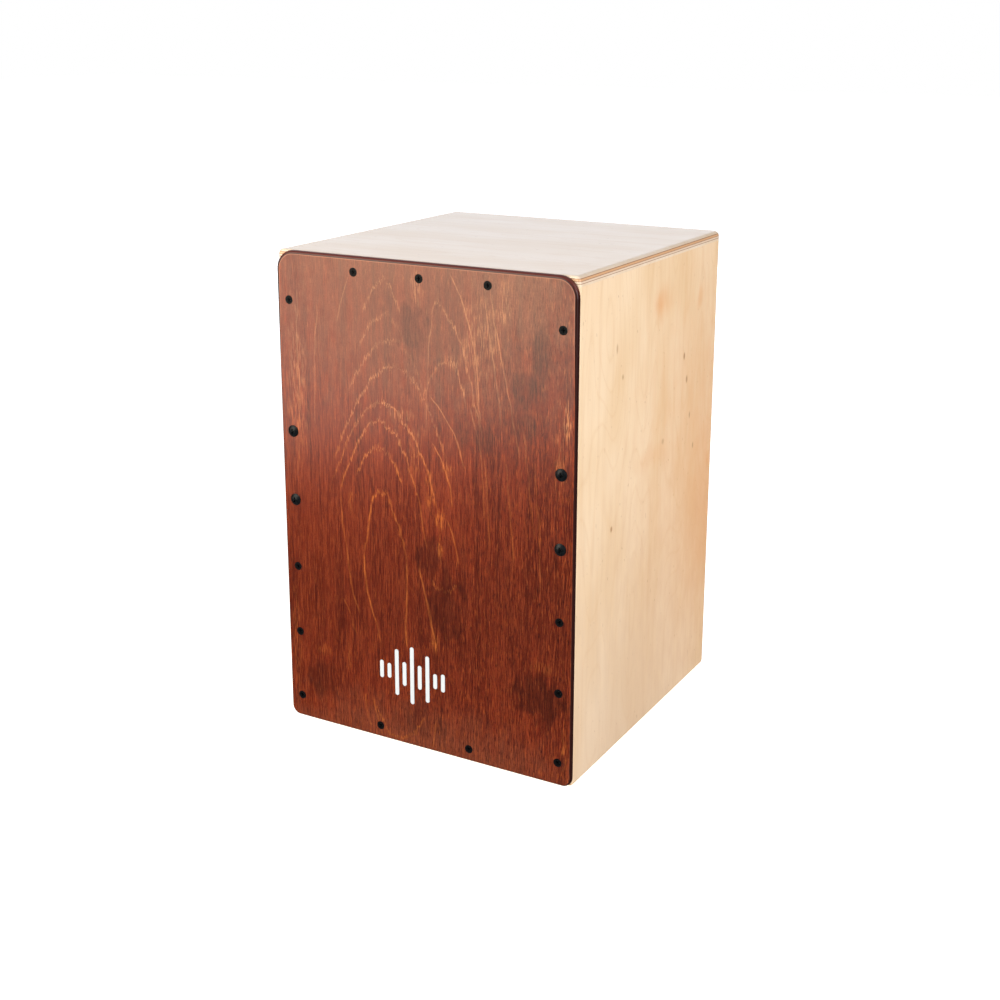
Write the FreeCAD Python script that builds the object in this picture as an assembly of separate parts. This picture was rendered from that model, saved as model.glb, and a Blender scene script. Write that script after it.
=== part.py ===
import FreeCAD, Part
import math
import os

# A cajon: a wooden box drum that the player sits on. Millimetres, +Z up.
# The playing plate faces -Y, and -X is the drum's left side seen from the front.
# The origin is on the ground, under the middle of the drum's bounding box.

# ---- driving dimensions: carcass ----
BODY_WIDTH = 300.0
BODY_DEPTH = 305.0
BODY_HEIGHT = 450.0
PANEL_THICKNESS = 9.0
TOP_EDGE_RADIUS = 5.0
REAR_EDGE_RADIUS = 7.0
BOTTOM_EDGE_RADIUS = 4.0
RIM_RADIUS = 2.0

# ---- playing plate and back panel ----
PLATE_THICKNESS = 4.0
PLATE_TOP_RADIUS = 18.0
PLATE_BOTTOM_RADIUS = 9.0
PLATE_EDGE_RADIUS = 2.6
BACK_THICKNESS = 5.0
BACK_RECESS = 2.0
BACK_CLEARANCE = 0.3
PORT_RADIUS = 55.0
PORT_HEIGHT = 285.0
PORT_EDGE_RADIUS = 1.5

# ---- battens and glue strips ----
BATTEN_WIDTH = 20.0
FRONT_BATTEN_DEPTH = 20.0
REAR_BATTEN_DEPTH = 15.0
GLUE_STRIP_LEG = 15.0

# ---- screws: head radius, shank radius, length ----
SMALL_SCREW = (4.0, 1.75, 20.0)
BACK_SCREW = (4.0, 1.75, 16.0)
LARGE_SCREW = (5.5, 2.25, 44.0)
FOOT_SCREW = (4.0, 1.75, 13.0)
CLIP_SCREW = (3.0, 1.25, 12.0)
LARGE_HEAD_HEIGHT = 2.4
SMALL_PAN_HEIGHT = 1.8
HEAD_RIM = 0.4
SCREW_TIP = 3.0
TIP_RADIUS = 0.3
# the cross recess, as shares of the head's radius
RECESS_REACH = 0.56
RECESS_HALF_SLOT = 0.13
RECESS_DEPTH = 0.5
RECESS_END_REACH = 0.17

# ---- screw places on the plate, from the plate's own edges ----
SIDE_SCREW_INSET = 13.0
SIDE_SCREW_FIRST = 22.0
SIDE_SCREW_PITCH = 65.5
SIDE_SMALL_COUNT = 3
SIDE_LARGE_COUNT = 2
SIDE_TOP_SCREW_DROP = 44.5
TOP_SCREW_DROP = 14.0
TOP_SCREW_PITCH = 67.0
BOTTOM_SCREW_RISE = 12.0
BOTTOM_SCREW_HALF_PITCH = 47.5
BACK_SCREW_ROWS = 4

# ---- feet ----
FOOT_HEIGHT = 10.0
FOOT_RADIUS = 17.0
FOOT_TAPER = 2.0
FOOT_EDGE_RADIUS = 1.5
FOOT_INSET = 50.0
FOOT_POCKET_RADIUS = 7.0
FOOT_POCKET_DEPTH = 6.0
WASHER_RADIUS = 6.0
WASHER_THICKNESS = 1.0

# ---- snare unit, about the snare bar's axis ----
BLOCK_WIDTH = 24.0
BLOCK_DEPTH = 36.0
BLOCK_HEIGHT = 95.0
PIN_RADIUS = 6.0
PIN_LENGTH = 21.0
PIN_CLEARANCE = 0.05
BAR_FRONT = 32.5
BAR_REAR = 10.0
BAR_HALF_HEIGHT = 10.0
BAR_EDGE_RADIUS = 1.5
FELT_THICKNESS = 1.8
FELT_RADIUS = 9.0
FELT_GAP = 0.1
STRAND_COUNT = 10
STRAND_RADIUS = 1.1
STRAND_PITCH = 4.4
STRAND_FOOT_HEIGHT = 6.0
STRAND_TIP_HEIGHT = 160.0
STRAND_TIP_GAP = 0.4
CLIP_DEPTH = 3.4
CLIP_HEIGHT = 14.0
CLIP_MARGIN = 2.0
CLIP_EAR_WIDTH = 12.0
CLIP_EAR_THICKNESS = 0.8
SNARE_SET_OFFSET = 62.0

# ---- printed mark: a row of upright bars ----
MARK_CENTRE = (-12.0, 70.0)
MARK_BAR_COUNT = 9
MARK_BAR_WIDTH = 4.0
MARK_BAR_PITCH = 8.2
MARK_HEIGHT = 56.0
MARK_SHORT_BAR_SHARE = 0.44
MARK_THICKNESS = 0.15

# ---- derived positions ----
HALF_WIDTH = BODY_WIDTH / 2
INNER_HALF_WIDTH = HALF_WIDTH - PANEL_THICKNESS
FLOOR_Z = FOOT_HEIGHT
TOP_Z = FLOOR_Z + BODY_HEIGHT
INNER_FLOOR_Z = FLOOR_Z + PANEL_THICKNESS
INNER_TOP_Z = TOP_Z - PANEL_THICKNESS
OVERALL_DEPTH = LARGE_HEAD_HEIGHT + PLATE_THICKNESS + BODY_DEPTH
PLATE_FRONT_Y = LARGE_HEAD_HEIGHT - OVERALL_DEPTH / 2
BODY_FRONT_Y = PLATE_FRONT_Y + PLATE_THICKNESS
BODY_REAR_Y = BODY_FRONT_Y + BODY_DEPTH
BACK_OUTER_Y = BODY_REAR_Y - BACK_RECESS
BACK_INNER_Y = BACK_OUTER_Y - BACK_THICKNESS
FRONT_BATTEN_Y = BODY_FRONT_Y + FRONT_BATTEN_DEPTH
REAR_BATTEN_Y = BACK_INNER_Y - REAR_BATTEN_DEPTH
FIRST_LARGE_Z = FLOOR_Z + SIDE_SCREW_FIRST + SIDE_SMALL_COUNT * SIDE_SCREW_PITCH
SNARE_AXIS_Z = FIRST_LARGE_Z + SIDE_SCREW_PITCH / 2
SNARE_AXIS_Y = FRONT_BATTEN_Y + BLOCK_DEPTH / 2
BLOCK_INNER_X = INNER_HALF_WIDTH - BLOCK_WIDTH
BAR_HALF_LENGTH = BLOCK_INNER_X - FELT_THICKNESS - FELT_GAP

SAME_PLACE = 1e-4
FULL_TURN = 360
INTO_DRUM = FreeCAD.Vector(0, 1, 0)
OUT_OF_DRUM = FreeCAD.Vector(0, -1, 0)
UP = FreeCAD.Vector(0, 0, 1)


# ---- shape helpers ----
def box(x_span, y_span, z_span):
    corner = FreeCAD.Vector(x_span[0], y_span[0], z_span[0])
    return Part.makeBox(x_span[1] - x_span[0], y_span[1] - y_span[0], z_span[1] - z_span[0], corner)


def centred_box(half_width, y_span, z_span):
    return box((-half_width, half_width), y_span, z_span)


def rod(radius, start, end):
    return Part.makeCylinder(radius, (end - start).Length, start, end - start)


def edges_where(solid, test):
    return [edge for edge in solid.Edges if test(edge.BoundBox)]


def same(a, b):
    return abs(a - b) < SAME_PLACE


def turned(points):
    """A solid of revolution about Z from (radius, height) points."""
    corners = [FreeCAD.Vector(radius, 0, height) for radius, height in points]
    face = Part.Face(Part.makePolygon(corners + corners[:1]))
    return face.revolve(FreeCAD.Vector(0, 0, 0), UP, FULL_TURN)


def placed(shape, position, direction):
    """A copy of a shape made along +Z, moved to position and turned towards direction."""
    copy = shape.copy()
    copy.Placement = FreeCAD.Placement(position, FreeCAD.Rotation(UP, direction))
    return copy


def cut_all(shape, tools):
    for tool in tools:
        shape = shape.cut(tool)
    return shape


# ---- screws: made along +Z, seated at height 0 ----
def shank(shank_radius, start, length):
    return turned([(0, start), (shank_radius, start), (shank_radius, length - SCREW_TIP),
                   (TIP_RADIUS, length), (0, length)])


def countersunk_blank(screw):
    head_radius, shank_radius, length = screw
    cone_end = HEAD_RIM + head_radius - shank_radius
    head = turned([(0, 0), (head_radius, 0), (head_radius, HEAD_RIM), (shank_radius, cone_end),
                   (0, cone_end)])
    return head.fuse(shank(shank_radius, cone_end, length)).removeSplitter()


def pan_blank(screw, head_height):
    head_radius, shank_radius, length = screw
    dome_height = head_height - HEAD_RIM
    dome_radius = (head_radius ** 2 + dome_height ** 2) / (2 * dome_height)
    centre = FreeCAD.Vector(0, 0, dome_radius - head_height)
    head = Part.makeCylinder(head_radius, head_height, FreeCAD.Vector(0, 0, -head_height))
    head = head.common(Part.makeSphere(dome_radius, centre))
    return head.fuse(shank(shank_radius, 0, length)).removeSplitter()


def cross_recess(head_radius, head_top):
    """A tapered cross-shaped driver recess that opens at height head_top."""
    arm = RECESS_REACH * head_radius
    half_slot = RECESS_HALF_SLOT * head_radius
    depth = RECESS_DEPTH * head_radius
    taper = Part.makeCone(arm, RECESS_END_REACH * head_radius, depth, UP * head_top)
    z_span = (head_top, head_top + depth)
    along_x = box((-arm, arm), (-half_slot, half_slot), z_span)
    along_y = box((-half_slot, half_slot), (-arm, arm), z_span)
    return taper.common(along_x.fuse(along_y))


class Screws:
    """Identical screws: blanks cut their own holes, and finished ones have driver recesses."""

    def __init__(self, screw, places, direction, pan_height=0.0):
        blank = pan_blank(screw, pan_height) if pan_height else countersunk_blank(screw)
        finished = blank.cut(cross_recess(screw[0], -pan_height))
        self.blanks = [placed(blank, place, direction) for place in places]
        self.finished = [placed(finished, place, direction) for place in places]

    def node(self):
        return Part.makeCompound(self.finished)


# ---- where the screws go ----
def plate_small_places():
    side_x = HALF_WIDTH - SIDE_SCREW_INSET
    places = []
    for side in (-1, 1):
        heights = [SIDE_SCREW_FIRST + i * SIDE_SCREW_PITCH for i in range(SIDE_SMALL_COUNT)]
        heights.append(BODY_HEIGHT - SIDE_TOP_SCREW_DROP)
        places += [(side * side_x, FLOOR_Z + height) for height in heights]
        places.append((side * BOTTOM_SCREW_HALF_PITCH, FLOOR_Z + BOTTOM_SCREW_RISE))
    places += [(i * TOP_SCREW_PITCH, TOP_Z - TOP_SCREW_DROP) for i in (-1, 0, 1)]
    return [FreeCAD.Vector(x, PLATE_FRONT_Y, z) for x, z in places]


def plate_large_places():
    side_x = HALF_WIDTH - SIDE_SCREW_INSET
    return [FreeCAD.Vector(side * side_x, PLATE_FRONT_Y, FIRST_LARGE_Z + i * SIDE_SCREW_PITCH)
            for side in (-1, 1) for i in range(SIDE_LARGE_COUNT)]


def back_screw_places():
    side_x = INNER_HALF_WIDTH - BATTEN_WIDTH / 2
    low = INNER_FLOOR_Z + BATTEN_WIDTH / 2
    high = INNER_TOP_Z - BATTEN_WIDTH / 2
    step = (high - low) / (BACK_SCREW_ROWS - 1)
    places = [(side * side_x, low + i * step)
              for side in (-1, 1) for i in range(BACK_SCREW_ROWS)]
    places += [(0, low), (0, high)]
    return [FreeCAD.Vector(x, BACK_OUTER_Y, z) for x, z in places]


def foot_places():
    x = HALF_WIDTH - FOOT_INSET
    return {"foot_front_left": (-x, BODY_FRONT_Y + FOOT_INSET),
            "foot_front_right": (x, BODY_FRONT_Y + FOOT_INSET),
            "foot_rear_left": (-x, BODY_REAR_Y - FOOT_INSET),
            "foot_rear_right": (x, BODY_REAR_Y - FOOT_INSET)}


# ---- carcass ----
def carcass_outline():
    """The closed outer form of the carcass with its rounded edges."""
    solid = centred_box(HALF_WIDTH, (BODY_FRONT_Y, BODY_REAR_Y), (FLOOR_Z, TOP_Z))
    solid = solid.makeFillet(REAR_EDGE_RADIUS, edges_where(
        solid, lambda b: same(b.YMin, BODY_REAR_Y) and same(b.XMin, b.XMax)))
    solid = solid.makeFillet(TOP_EDGE_RADIUS, edges_where(
        solid, lambda b: same(b.ZMin, TOP_Z) and not same(b.YMax, BODY_FRONT_Y)))
    solid = solid.makeFillet(BOTTOM_EDGE_RADIUS, edges_where(
        solid, lambda b: same(b.ZMax, FLOOR_Z) and not same(b.YMax, BODY_FRONT_Y)))
    return solid.makeFillet(RIM_RADIUS, edges_where(solid, lambda b: same(b.YMax, BODY_FRONT_Y)))


def panels():
    """The top caps the sides, and the bottom sits between them."""
    outline = carcass_outline()
    depth = (BODY_FRONT_Y, BODY_REAR_Y)
    below_top = (FLOOR_Z, INNER_TOP_Z)
    return {
        "top_panel": outline.common(centred_box(HALF_WIDTH, depth, (INNER_TOP_Z, TOP_Z))),
        "bottom_panel": outline.common(
            centred_box(INNER_HALF_WIDTH, depth, (FLOOR_Z, INNER_FLOOR_Z))),
        "left_side_panel": outline.common(
            box((-HALF_WIDTH, -INNER_HALF_WIDTH), depth, below_top)),
        "right_side_panel": outline.common(
            box((INNER_HALF_WIDTH, HALF_WIDTH), depth, below_top)),
    }


def playing_plate():
    plate = centred_box(HALF_WIDTH, (PLATE_FRONT_Y, BODY_FRONT_Y), (FLOOR_Z, TOP_Z))
    for height, radius in ((TOP_Z, PLATE_TOP_RADIUS), (FLOOR_Z, PLATE_BOTTOM_RADIUS)):
        plate = plate.makeFillet(radius, edges_where(
            plate, lambda b: same(b.XMin, b.XMax) and same(b.ZMin, b.ZMax) and same(b.ZMin, height)))
    return plate.makeFillet(PLATE_EDGE_RADIUS, edges_where(
        plate, lambda b: same(b.YMax, PLATE_FRONT_Y)))


def back_panel():
    panel = centred_box(INNER_HALF_WIDTH - BACK_CLEARANCE, (BACK_INNER_Y, BACK_OUTER_Y),
                        (INNER_FLOOR_Z + BACK_CLEARANCE, INNER_TOP_Z - BACK_CLEARANCE))
    centre = FreeCAD.Vector(0, BACK_INNER_Y, FLOOR_Z + PORT_HEIGHT)
    panel = panel.cut(rod(PORT_RADIUS, centre, centre + INTO_DRUM * BACK_THICKNESS))
    mouth = edges_where(panel, lambda b: same(b.YMin, BACK_OUTER_Y) and same(b.XLength, 2 * PORT_RADIUS))
    return panel.makeFillet(PORT_EDGE_RADIUS, mouth)


def batten_ring(prefix, y_span):
    """Two full-height side battens with a top and a bottom batten between them."""
    inner_x = INNER_HALF_WIDTH - BATTEN_WIDTH
    full_height = (INNER_FLOOR_Z, INNER_TOP_Z)
    return {
        prefix + "_batten_left": box((-INNER_HALF_WIDTH, -inner_x), y_span, full_height),
        prefix + "_batten_right": box((inner_x, INNER_HALF_WIDTH), y_span, full_height),
        prefix + "_batten_top": centred_box(
            inner_x, y_span, (INNER_TOP_Z - BATTEN_WIDTH, INNER_TOP_Z)),
        prefix + "_batten_bottom": centred_box(
            inner_x, y_span, (INNER_FLOOR_Z, INNER_FLOOR_Z + BATTEN_WIDTH)),
    }


def glue_strips():
    """Triangular strips in the four long inner corners, between the two batten rings."""
    strips = []
    for side in (-1, 1):
        for corner_z, up in ((INNER_FLOOR_Z, 1), (INNER_TOP_Z, -1)):
            x = side * INNER_HALF_WIDTH
            corner = FreeCAD.Vector(x, FRONT_BATTEN_Y, corner_z)
            across = FreeCAD.Vector(-side * GLUE_STRIP_LEG, 0, 0)
            upright = FreeCAD.Vector(0, 0, up * GLUE_STRIP_LEG)
            outline = Part.makePolygon([corner, corner + across, corner + upright, corner])
            strips.append(Part.Face(outline).extrude(INTO_DRUM * (REAR_BATTEN_Y - FRONT_BATTEN_Y)))
    return Part.makeCompound(strips)


# ---- feet ----
def foot(x, y):
    body = Part.makeCone(FOOT_RADIUS - FOOT_TAPER, FOOT_RADIUS, FOOT_HEIGHT)
    body = body.makeFillet(FOOT_EDGE_RADIUS, edges_where(body, lambda b: same(b.ZMax, 0)))
    body = body.cut(Part.makeCylinder(FOOT_POCKET_RADIUS, FOOT_POCKET_DEPTH))
    return placed(body, FreeCAD.Vector(x, y, 0), UP)


def foot_washer(x, y):
    seat = FreeCAD.Vector(x, y, FOOT_POCKET_DEPTH - WASHER_THICKNESS)
    return Part.makeCylinder(WASHER_RADIUS, WASHER_THICKNESS, seat)


# ---- snare unit ----
def snare_point(x, back, height):
    """A point given from the snare bar's axis: back is towards the rear."""
    return FreeCAD.Vector(x, SNARE_AXIS_Y + back, SNARE_AXIS_Z + height)


def bearing_block(side):
    x_span = sorted((side * BLOCK_INNER_X, side * INNER_HALF_WIDTH))
    z_span = (SNARE_AXIS_Z - BLOCK_HEIGHT / 2, SNARE_AXIS_Z + BLOCK_HEIGHT / 2)
    block = box(x_span, (FRONT_BATTEN_Y, FRONT_BATTEN_Y + BLOCK_DEPTH), z_span)
    mouth = snare_point(side * BLOCK_INNER_X, 0, 0)
    bore_end = snare_point(side * (BAR_HALF_LENGTH + PIN_LENGTH + FELT_THICKNESS), 0, 0)
    return block.cut(rod(PIN_RADIUS + PIN_CLEARANCE, mouth, bore_end))


def snare_bar():
    rail = centred_box(BAR_HALF_LENGTH, (SNARE_AXIS_Y - BAR_FRONT, SNARE_AXIS_Y + BAR_REAR),
                       (SNARE_AXIS_Z - BAR_HALF_HEIGHT, SNARE_AXIS_Z + BAR_HALF_HEIGHT))
    rail = rail.makeFillet(BAR_EDGE_RADIUS, edges_where(rail, lambda b: b.XLength > BAR_HALF_LENGTH))
    tip = BAR_HALF_LENGTH + PIN_LENGTH
    return rail.fuse(rod(PIN_RADIUS, snare_point(-tip, 0, 0), snare_point(tip, 0, 0)))


def felt_washers():
    washers = []
    for side in (-1, 1):
        inner = snare_point(side * BAR_HALF_LENGTH, 0, 0)
        outer = snare_point(side * (BAR_HALF_LENGTH + FELT_THICKNESS), 0, 0)
        washers.append(rod(FELT_RADIUS, inner, outer).cut(rod(PIN_RADIUS, inner, outer)))
    return Part.makeCompound(washers)


def strand_rods(set_x):
    """Straight rods over the coiled strands, which lean forward towards the plate."""
    first_x = set_x - STRAND_PITCH * (STRAND_COUNT - 1) / 2
    foot_back = -BAR_FRONT - CLIP_DEPTH / 2
    tip_back = BODY_FRONT_Y + STRAND_TIP_GAP + STRAND_RADIUS - SNARE_AXIS_Y
    return [rod(STRAND_RADIUS,
                snare_point(first_x + i * STRAND_PITCH, foot_back, STRAND_FOOT_HEIGHT),
                snare_point(first_x + i * STRAND_PITCH, tip_back, STRAND_TIP_HEIGHT))
            for i in range(STRAND_COUNT)]


def clip_half_width():
    return STRAND_PITCH * (STRAND_COUNT - 1) / 2 + STRAND_RADIUS + CLIP_MARGIN


def snare_clip(set_x):
    """A folded steel clip that holds the strands' lower ends, with an ear at each end."""
    half = clip_half_width()
    y_face = SNARE_AXIS_Y - BAR_FRONT
    z_span = (SNARE_AXIS_Z, SNARE_AXIS_Z + CLIP_HEIGHT)
    fold = box((set_x - half, set_x + half), (y_face - CLIP_DEPTH, y_face), z_span)
    ears_half = half + CLIP_EAR_WIDTH
    ears = box((set_x - ears_half, set_x + ears_half), (y_face - CLIP_EAR_THICKNESS, y_face), z_span)
    return cut_all(fold.fuse(ears).removeSplitter(), strand_rods(set_x))


def clip_screw_places():
    reach = clip_half_width() + CLIP_EAR_WIDTH / 2
    back = -BAR_FRONT - CLIP_EAR_THICKNESS
    return [snare_point(set_side * SNARE_SET_OFFSET + end * reach, back, CLIP_HEIGHT / 2)
            for set_side in (-1, 1) for end in (-1, 1)]


# ---- printed mark ----
def mark_bar(x, half_length):
    half = MARK_BAR_WIDTH / 2
    y_span = (PLATE_FRONT_Y - MARK_THICKNESS, PLATE_FRONT_Y)
    middle = FLOOR_Z + MARK_CENTRE[1]
    bar = box((x - half, x + half), y_span, (middle - half_length, middle + half_length))
    for end in (-half_length, half_length):
        centre = FreeCAD.Vector(x, y_span[0], middle + end)
        bar = bar.fuse(rod(half, centre, centre + INTO_DRUM * MARK_THICKNESS))
    return bar.removeSplitter()


def printed_mark():
    """Upright bars of a sound wave, tallest in the middle, with every other bar short."""
    bars = []
    for i in range(MARK_BAR_COUNT):
        position = i - (MARK_BAR_COUNT - 1) // 2
        swell = math.cos(math.pi * position / (MARK_BAR_COUNT + 1))
        share = MARK_SHORT_BAR_SHARE if position % 2 else 1.0
        half_length = (MARK_HEIGHT * swell * share - MARK_BAR_WIDTH) / 2
        bars.append(mark_bar(MARK_CENTRE[0] + position * MARK_BAR_PITCH, half_length))
    return Part.makeCompound(bars)


# ---- assembly ----
def build():
    small = Screws(SMALL_SCREW, plate_small_places(), INTO_DRUM)
    large = Screws(LARGE_SCREW, plate_large_places(), INTO_DRUM, LARGE_HEAD_HEIGHT)
    back = Screws(BACK_SCREW, back_screw_places(), OUT_OF_DRUM)
    foot_seats = [FreeCAD.Vector(x, y, FOOT_POCKET_DEPTH - WASHER_THICKNESS)
                  for x, y in foot_places().values()]
    foot_screws = Screws(FOOT_SCREW, foot_seats, UP, SMALL_PAN_HEIGHT)
    clip_screws = Screws(CLIP_SCREW, clip_screw_places(), INTO_DRUM, SMALL_PAN_HEIGHT)

    nodes = panels()
    nodes["bottom_panel"] = cut_all(nodes["bottom_panel"], foot_screws.blanks)
    nodes["playing_plate"] = cut_all(playing_plate(), small.blanks + large.blanks)
    nodes["back_panel"] = cut_all(back_panel(), back.blanks)
    for name, batten in batten_ring("front", (BODY_FRONT_Y, FRONT_BATTEN_Y)).items():
        nodes[name] = cut_all(batten, small.blanks + large.blanks)
    for name, batten in batten_ring("rear", (REAR_BATTEN_Y, BACK_INNER_Y)).items():
        nodes[name] = cut_all(batten, back.blanks)
    nodes["glue_strips"] = glue_strips()
    nodes["plate_screws"] = small.node()
    nodes["plate_screws_large"] = large.node()
    nodes["back_screws"] = back.node()

    for name, (x, y) in foot_places().items():
        nodes[name] = cut_all(foot(x, y), foot_screws.blanks)
    nodes["foot_washers"] = Part.makeCompound(
        [cut_all(foot_washer(x, y), foot_screws.blanks) for x, y in foot_places().values()])
    nodes["foot_screws"] = foot_screws.node()

    nodes["snare_bar"] = cut_all(snare_bar(), clip_screws.blanks)
    nodes["snare_felt_washers"] = felt_washers()
    nodes["snare_clip_screws"] = clip_screws.node()
    for side, label in ((-1, "left"), (1, "right")):
        set_x = side * SNARE_SET_OFFSET
        nodes["snare_block_" + label] = cut_all(bearing_block(side), large.blanks)
        nodes["snare_clip_" + label] = cut_all(snare_clip(set_x), clip_screws.blanks)
        nodes["snare_wires_" + label] = Part.makeCompound(strand_rods(set_x))
    nodes["printed_mark"] = printed_mark()
    return nodes


os.makedirs("parts", exist_ok=True)
for node_name, shape in build().items():
    shape.exportStep("parts/" + node_name + ".step")
    print(node_name, "solids", len(shape.Solids), "valid", shape.isValid(),
          "volume", round(shape.Volume, 1))
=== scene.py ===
import math

import bpy
import numpy as np
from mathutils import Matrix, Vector


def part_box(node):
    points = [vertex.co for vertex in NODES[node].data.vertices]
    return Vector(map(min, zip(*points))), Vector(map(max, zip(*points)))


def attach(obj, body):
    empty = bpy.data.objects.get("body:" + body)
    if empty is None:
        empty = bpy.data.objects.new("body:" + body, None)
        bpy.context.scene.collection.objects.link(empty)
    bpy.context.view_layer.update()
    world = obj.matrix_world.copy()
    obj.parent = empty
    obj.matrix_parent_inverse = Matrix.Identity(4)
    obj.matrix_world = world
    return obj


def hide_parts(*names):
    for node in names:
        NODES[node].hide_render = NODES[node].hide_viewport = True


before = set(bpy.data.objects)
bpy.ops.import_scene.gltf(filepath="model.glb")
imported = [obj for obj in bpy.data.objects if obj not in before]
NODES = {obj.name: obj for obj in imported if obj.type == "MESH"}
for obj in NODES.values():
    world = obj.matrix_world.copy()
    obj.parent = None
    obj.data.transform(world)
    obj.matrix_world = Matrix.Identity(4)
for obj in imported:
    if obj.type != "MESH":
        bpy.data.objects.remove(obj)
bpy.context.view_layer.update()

MM = 1000.0  # millimetres in one of Blender's metres
RIGHT, BACK, UP = range(3)  # the frame's axes, for someone who looks at the playing plate
# Reliefs, in millimetres, of a sanded or printed face, of planed spruce and of beech.
GRAIN_DEPTH = 0.03
SPRUCE_DEPTH = 0.08
BEECH_DEPTH = 0.06


def rgb(red, green, blue):
    """An 8-bit display colour as the linear colour that the shaders take."""
    shares = (value / 255 for value in (red, green, blue))
    linear = (s / 12.92 if s <= 0.04045 else ((s + 0.055) / 1.055) ** 2.4 for s in shares)
    return (*linear, 1.0)


class Nodes:
    """A node tree. Each method adds what it names and returns its output socket."""

    def __init__(self, owner):
        owner.use_nodes = True
        self.nodes = owner.node_tree.nodes
        self.links = owner.node_tree.links

    def parts(self, vector):
        """The three numbers of a vector."""
        split = self.nodes.new("ShaderNodeSeparateXYZ")
        self.links.new(vector, split.inputs[0])
        return tuple(split.outputs)

    def feed(self, socket, value):
        """Links a socket's value, or sets a constant."""
        if isinstance(value, bpy.types.NodeSocket):
            self.links.new(value, socket)
        else:
            socket.default_value = value

    def math(self, operation, first, second=0.0, third=0.0):
        node = self.nodes.new("ShaderNodeMath")
        node.operation = operation
        for socket, value in zip(node.inputs, (first, second, third)):
            self.feed(socket, value)
        return node.outputs[0]

    def add(self, *values):
        total = values[0]
        for value in values[1:]:
            total = self.math("ADD", total, value)
        return total

    def times(self, *values):
        total = values[0]
        for value in values[1:]:
            total = self.math("MULTIPLY", total, value)
        return total

    def point(self, x, y, z, scales=(1.0, 1.0, 1.0), shift=0.0):
        """A place for a noise: each coordinate times its scale, moved along by shift."""
        node = self.nodes.new("ShaderNodeCombineXYZ")
        for socket, value, scale in zip(node.inputs, (x, y, z), scales):
            if isinstance(value, bpy.types.NodeSocket):
                value = self.math("MULTIPLY_ADD", value, scale, shift)
            self.feed(socket, value)
        return node.outputs[0]

    def noise(self, place, detail=2.0, roughness=0.5, distortion=0.0):
        """Noise about 0.5, one wave to each unit of place."""
        node = self.nodes.new("ShaderNodeTexNoise")
        self.feed(node.inputs["Vector"], place)
        node.inputs["Scale"].default_value = 1.0
        node.inputs["Detail"].default_value = detail
        node.inputs["Roughness"].default_value = roughness
        node.inputs["Distortion"].default_value = distortion
        return node.outputs["Fac"]

    def pushed(self, value, noise, amount):
        """value moved by the noise's distance from 0.5, times amount."""
        return self.math("MULTIPLY_ADD", self.math("SUBTRACT", noise, 0.5), amount, value)

    def spread(self, value, low, high, to_low=0.0, to_high=1.0, smooth=True):
        """value from low..high to to_low..to_high, clamped."""
        node = self.nodes.new("ShaderNodeMapRange")
        node.interpolation_type = "SMOOTHSTEP" if smooth else "LINEAR"
        for socket, number in zip(node.inputs, (value, low, high, to_low, to_high)):
            self.feed(socket, number)
        return node.outputs[0]

    def blend(self, share, first, second, mode="MIX"):
        """The first colour at share 0 and the second at 1."""
        node = self.nodes.new("ShaderNodeMix")
        node.data_type = "RGBA"
        node.blend_type = mode
        node.clamp_factor = True
        self.feed(node.inputs[0], share)
        self.feed(node.inputs[6], first)
        self.feed(node.inputs[7], second)
        return node.outputs[2]

    def shade(self, colour, amount):
        """colour times a grey amount."""
        node = self.nodes.new("ShaderNodeVectorMath")
        node.operation = "SCALE"
        self.feed(node.inputs[0], colour if isinstance(colour, bpy.types.NodeSocket) else colour[:3])
        self.feed(node.inputs["Scale"], amount)
        return node.outputs[0]

    def spot(self, across, along, oval, ragged=None, core=0.25):
        """1 within the core share of an oval (across, along, half width, half height), 0 outside it.
        ragged is added to the distance from the middle, which is 1 at the oval's edge."""
        middle_across, middle_along, half_width, half_height = oval
        sides = self.math("DIVIDE", self.math("SUBTRACT", across, middle_across), half_width)
        ends = self.math("DIVIDE", self.math("SUBTRACT", along, middle_along), half_height)
        reach = self.math("SQRT", self.add(self.times(sides, sides), self.times(ends, ends)))
        if ragged is not None:
            reach = self.add(reach, ragged)
        return self.spread(reach, core, 1.0, 1.0, 0.0)


class Graph(Nodes):
    """One material's nodes, with the place on the surface as x, y and z in mm of the frame."""

    def __init__(self, name):
        self.material = bpy.data.materials.new(name)
        super().__init__(self.material)
        self.shader = self.nodes["Principled BSDF"]
        place = self.nodes.new("ShaderNodeTexCoord").outputs["Object"]
        self.x, self.y, self.z = (self.math("MULTIPLY", part, MM) for part in self.parts(place))

    def facing(self, axis):
        """How far the surface faces along +X, +Y or +Z in the frame, from -1 to 1."""
        return self.parts(self.nodes.new("ShaderNodeNewGeometry").outputs["Normal"])[axis]

    def bump(self, height, depth):
        """A height from 0 to 1, raised by depth in millimetres."""
        node = self.nodes.new("ShaderNodeBump")
        node.inputs["Strength"].default_value = 1.0
        node.inputs["Distance"].default_value = depth / MM
        self.feed(node.inputs["Height"], height)
        return node.outputs["Normal"]

    def finish(self, colour, roughness, normal, **constants):
        """The material, with constants set on the shader's own sockets."""
        self.feed(self.shader.inputs["Base Color"], colour)
        self.feed(self.shader.inputs["Roughness"], roughness)
        self.feed(self.shader.inputs["Normal"], normal)
        for name, value in constants.items():
            self.shader.inputs[name.replace("_", " ")].default_value = value
        return self.material


def wear(material, *names):
    """The named CAD nodes wear the material."""
    for name in names:
        for slot in NODES[name].material_slots:
            slot.material = material


# ---------------------------------------------------------------- stained playing plate

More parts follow.
